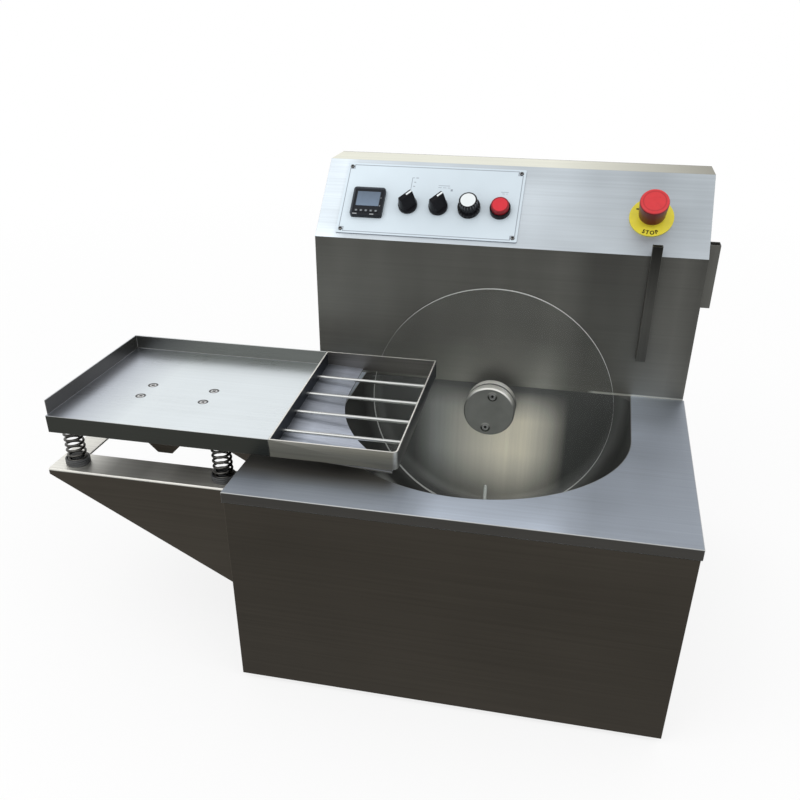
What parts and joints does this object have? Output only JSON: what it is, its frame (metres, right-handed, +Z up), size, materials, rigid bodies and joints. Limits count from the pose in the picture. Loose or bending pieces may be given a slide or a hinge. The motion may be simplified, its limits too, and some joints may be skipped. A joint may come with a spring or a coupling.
{
  "type": "wheel-type chocolate melting and moulding machine",
  "caption": "Table-top chocolate melting tank with a clear turning wheel, a sloped control panel and a sprung vibrating table with a drip grate at its side.",
  "frame": {"origin": "middle of the machine's footprint, on the surface it stands on", "axes": "+Z up, +X to the right seen from the front, +Y towards the back"},
  "size_m": [0.858, 0.5954, 0.5965],
  "materials": {
    "cabinet_steel": "brushed, dark reflections",
    "deck_steel": "satin sheet",
    "tray_steel": "satin sheet",
    "column_steel": "satin sheet",
    "tank_steel": "polished bowl",
    "bright_steel": "bright",
    "turned_steel": "turned",
    "clear_plastic": "clear, polished",
    "dark_rubber": "matt",
    "heater_silicone": "matt",
    "casting": "cast",
    "motor_paint": "satin paint",
    "black_plastic": "glossy",
    "dark_plastic": "matt",
    "white_plate": "printed film on sheet, no lettering",
    "white_plastic": "glossy",
    "screen_grey": "dark display window",
    "key_grey": "matt",
    "red_plastic": "glossy",
    "yellow_plastic": "satin",
    "board_green": "circuit board",
    "spring_steel": "drawn wire"
  },
  "bodies": {
    "cabinet": {"base_plate": "cabinet_steel", "feet": "dark_rubber", "front_panel": "cabinet_steel", "side_panel_left": "cabinet_steel", "side_panel_right": "cabinet_steel", "deck_plate": "deck_steel", "column_front": "column_steel", "rear_cover": "cabinet_steel", "cover_screws": "bright_steel", "cable_gland": "dark_plastic", "tank": "tank_steel", "heater_mat": "heater_silicone", "temperature_probe": "bright_steel", "shaft_seal": "dark_rubber", "bearing_housing": "casting", "gearbox_stand": "cabinet_steel", "gearbox": "casting", "drive_motor": "motor_paint", "speed_drive": "board_green", "faceplate": "white_plate", "faceplate_screws": "turned_steel", "controller_case": "black_plastic", "controller_screen": "screen_grey", "selector_switches": "dark_plastic", "speed_pot": "dark_plastic", "button_bezel": "black_plastic", "estop_plate": "yellow_plastic", "estop_base": "yellow_plastic", "front_sleeve": "cabinet_steel", "side_sleeve": "cabinet_steel", "bracket_frame": "cabinet_steel", "bracket_gussets": "cabinet_steel", "lower_spring_seats": "dark_rubber", "table_springs": "spring_steel"},
    "wheel": {"wheel_disc": "clear_plastic", "hub_cap": "turned_steel", "hub_flange": "turned_steel", "hub_screws": "turned_steel", "drive_shaft": "turned_steel"},
    "table": {"tray": "tray_steel", "upper_spring_seats": "dark_rubber", "tray_screws": "bright_steel", "grate_frame": "cabinet_steel", "grate_rods": "bright_steel", "vibrator_motor": "casting", "vibrator_end_caps": "casting", "vibrator_guard": "cabinet_steel"},
    "vibrator": {"vibrator_rotor": "turned_steel"},
    "selector_left": {"selector_knob_left": "black_plastic"},
    "selector_right": {"selector_knob_right": "black_plastic"},
    "speed_dial": {"speed_knob": "black_plastic", "speed_knob_cap": "white_plastic"},
    "button": {"start_button": "red_plastic"},
    "stop_stem": {"estop_stem": "dark_plastic"},
    "stop_head": {"estop_head": "red_plastic"},
    "key_1": {"controller_key_1": "key_grey"},
    "key_2": {"controller_key_2": "key_grey"},
    "key_3": {"controller_key_3": "key_grey"},
    "key_4": {"controller_key_4": "key_grey"},
    "key_5": {"controller_key_5": "key_grey"}
  },
  "joints": [
    {"name": "wheel_spin", "type": "hinge", "parent": "cabinet", "child": "wheel", "pos_m": [0.134, 0.06675, 0.276], "axis": [0, 1, 0], "continuous": true},
    {"name": "table_shake", "type": "slide", "parent": "cabinet", "child": "table", "axis": [0, 0, 1], "range_m": [-0.003, 0.003], "stiffness_N_per_m": 76000, "springref_m": 0.00041, "deforming": ["table_springs"]},
    {"name": "vibrator_spin", "type": "hinge", "parent": "table", "child": "vibrator", "pos_m": [-0.281, -0.11775, 0.3045], "axis": [0, 1, 0], "continuous": true},
    {"name": "selector_left_turn", "type": "hinge", "parent": "cabinet", "child": "selector_left", "pos_m": [-0.0146, 0.15489, 0.54355], "axis": [0, -0.6847, 0.7288], "range_deg": [0, 90]},
    {"name": "selector_right_turn", "type": "hinge", "parent": "cabinet", "child": "selector_right", "pos_m": [0.0307, 0.15489, 0.54355], "axis": [0, -0.6847, 0.7288], "range_deg": [0, 90]},
    {"name": "speed_turn", "type": "hinge", "parent": "cabinet", "child": "speed_dial", "pos_m": [0.076, 0.15489, 0.54355], "axis": [0, -0.6847, 0.7288], "range_deg": [-150, 150]},
    {"name": "start_press", "type": "slide", "parent": "cabinet", "child": "button", "axis": [0, 0.6847, -0.7288], "range_m": [0, 0.003], "stiffness_N_per_m": 500, "springref_m": -0.002},
    {"name": "stop_press", "type": "slide", "parent": "cabinet", "child": "stop_stem", "axis": [0, 0.6847, -0.7288], "range_m": [0, 0.005], "stiffness_N_per_m": 800, "springref_m": -0.003},
    {"name": "stop_twist", "type": "hinge", "parent": "stop_stem", "child": "stop_head", "pos_m": [0.3325, 0.15671, 0.54526], "axis": [0, -0.6847, 0.7288], "range_deg": [-45, 0], "stiffness_Nm_per_rad": 0.1, "springref_deg": 11.46},
    {"name": "key_1_press", "type": "slide", "parent": "cabinet", "child": "key_1", "axis": [0, 0.6847, -0.7288], "range_m": [0, 0.0004], "stiffness_N_per_m": 1500, "springref_m": -0.0003},
    {"name": "key_2_press", "type": "slide", "parent": "cabinet", "child": "key_2", "axis": [0, 0.6847, -0.7288], "range_m": [0, 0.0004], "stiffness_N_per_m": 1500, "springref_m": -0.0003},
    {"name": "key_3_press", "type": "slide", "parent": "cabinet", "child": "key_3", "axis": [0, 0.6847, -0.7288], "range_m": [0, 0.0004], "stiffness_N_per_m": 1500, "springref_m": -0.0003},
    {"name": "key_4_press", "type": "slide", "parent": "cabinet", "child": "key_4", "axis": [0, 0.6847, -0.7288], "range_m": [0, 0.0004], "stiffness_N_per_m": 1500, "springref_m": -0.0003},
    {"name": "key_5_press", "type": "slide", "parent": "cabinet", "child": "key_5", "axis": [0, 0.6847, -0.7288], "range_m": [0, 0.0004], "stiffness_N_per_m": 1500, "springref_m": -0.0003}
  ]
}
